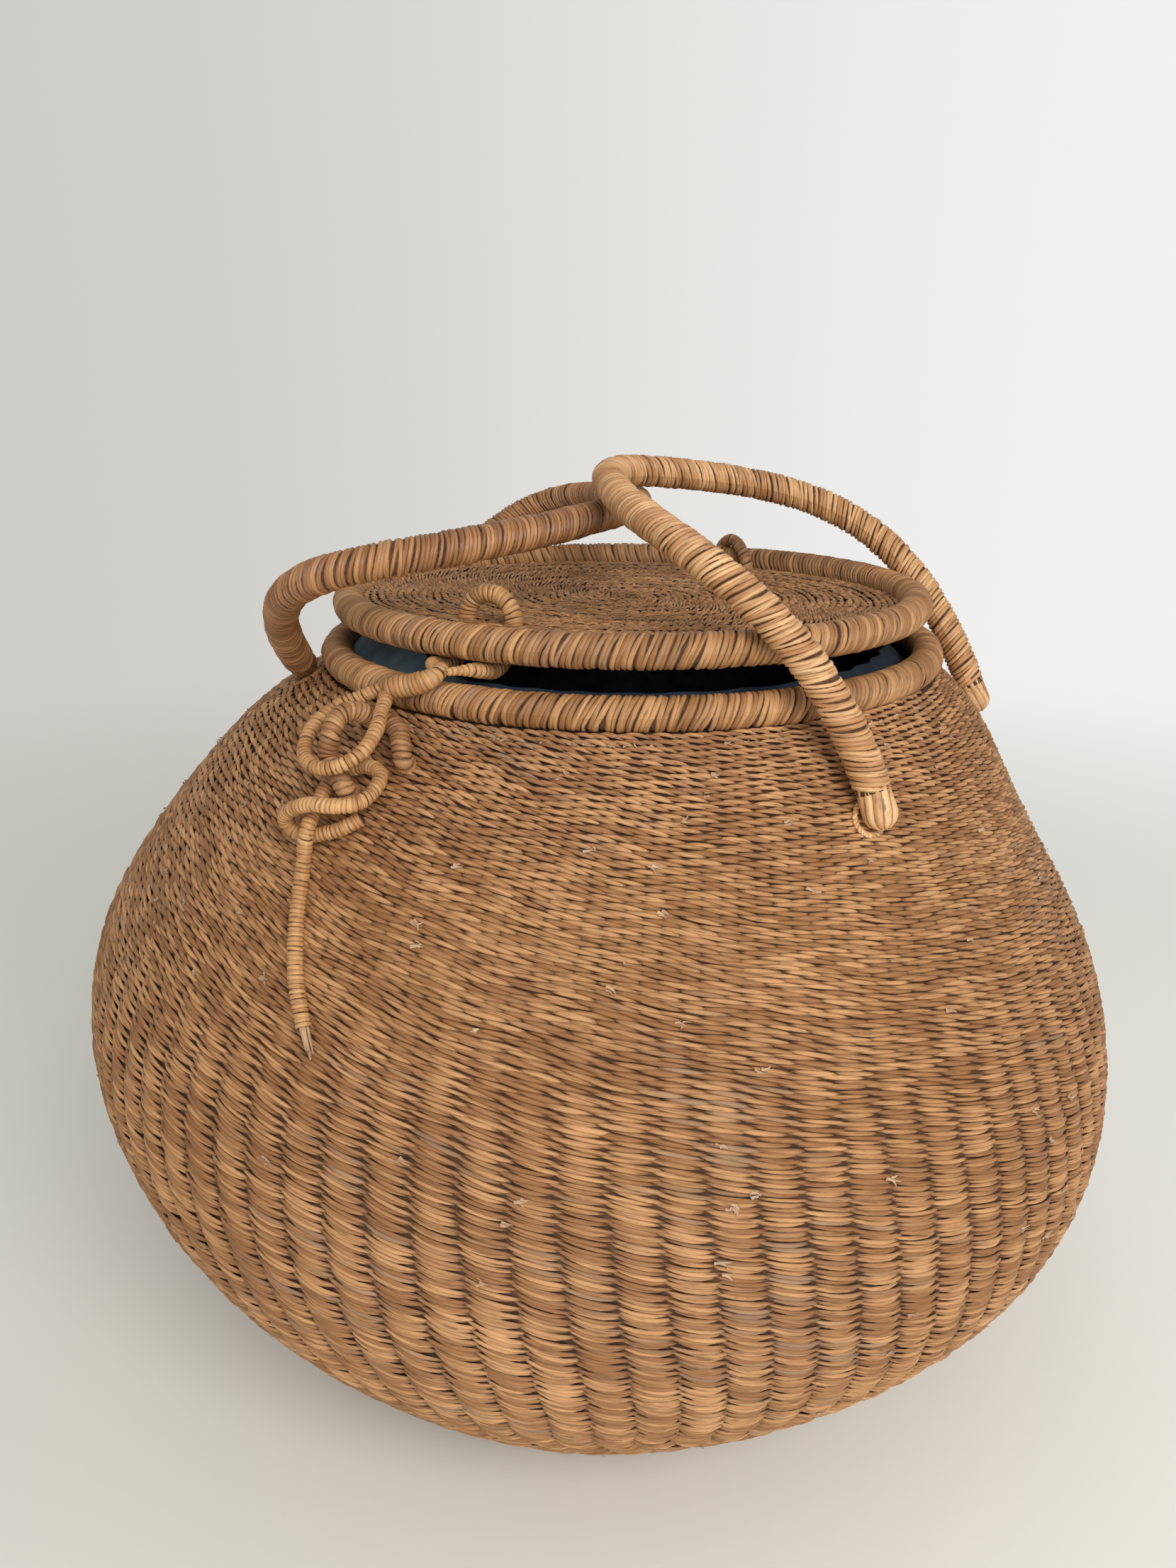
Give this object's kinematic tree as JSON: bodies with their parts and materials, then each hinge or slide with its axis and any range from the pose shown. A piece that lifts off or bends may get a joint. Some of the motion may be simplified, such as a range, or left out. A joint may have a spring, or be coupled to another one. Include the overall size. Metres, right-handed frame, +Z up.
{
  "type": "laundry hamper with lid",
  "caption": "Pot-bellied twined fibre hamper with a cloth liner, a hinged woven lid, two wrapped folding handles and a cane hasp that drops over a tied staple.",
  "frame": {"origin": "centre of the belly's outline, on the surface the base stands on", "axes": "+Z up, -Y towards the hasp and staple, +Y towards the lid's hinge ring, +X towards the right handle"},
  "size_m": [0.5222, 0.5208, 0.4608],
  "materials": {
    "twined_weave": "twined plant fibre, dry and matt",
    "hoop_wrap": "close turns of flat fibre strip, low sheen",
    "handle_wrap": "close turns of flat fibre strip, redder, soft sheen",
    "cane": "bare cane",
    "tie_wrap": "pale wrapped fibre",
    "liner_cloth": "plain matt cotton, dark blue"
  },
  "bodies": {
    "basket": {"basket_wall": "twined_weave", "rim_core": "cane", "rim_wrap": "hoop_wrap", "hinge_ring": "hoop_wrap", "staple": "hoop_wrap", "liner": "liner_cloth", "tie_cord": "tie_wrap", "tie_reed": "cane", "right_collar_a": "hoop_wrap", "right_collar_b": "hoop_wrap", "left_collar_a": "hoop_wrap", "left_collar_b": "hoop_wrap"},
    "lid": {"lid_weave": "twined_weave", "lid_core": "cane", "lid_wrap": "hoop_wrap", "hasp_arch": "hoop_wrap"},
    "hasp": {"hasp_binding": "hoop_wrap", "hasp_cane": "hoop_wrap"},
    "right_handle": {"right_handle_core": "cane", "right_handle_wrap": "handle_wrap"},
    "left_handle": {"left_handle_core": "cane", "left_handle_wrap": "handle_wrap"}
  },
  "joints": [
    {"name": "right_handle_swing", "type": "hinge", "parent": "basket", "child": "right_handle", "pos_m": [0.16838, 0.01928, 0.33478], "axis": [-0.0981, 0.9952, -0.0015], "range_deg": [0, 145]},
    {"name": "left_handle_swing", "type": "hinge", "parent": "basket", "child": "left_handle", "pos_m": [-0.12752, -0.03425, 0.36549], "axis": [0.2862, -0.9582, -0.0029], "range_deg": [0, 145]},
    {"name": "lid_hinge", "type": "hinge", "parent": "basket", "child": "lid", "pos_m": [0.00518, 0.14645, 0.39381], "axis": [-0.9986, -0.0523, 0], "range_deg": [0, 58]},
    {"name": "hasp_swing", "type": "hinge", "parent": "lid", "child": "hasp", "pos_m": [0.00984, -0.14234, 0.38331], "axis": [-0.9998, 0.0175, 0], "range_deg": [0, 116]}
  ],
  "couplings": [
    {"joint": "left_handle_swing", "follows": "right_handle_swing", "ratio": 1},
    {"joint": "lid_hinge", "follows": "right_handle_swing", "ratio": 0.4},
    {"joint": "hasp_swing", "follows": "right_handle_swing", "ratio": 0.8}
  ]
}
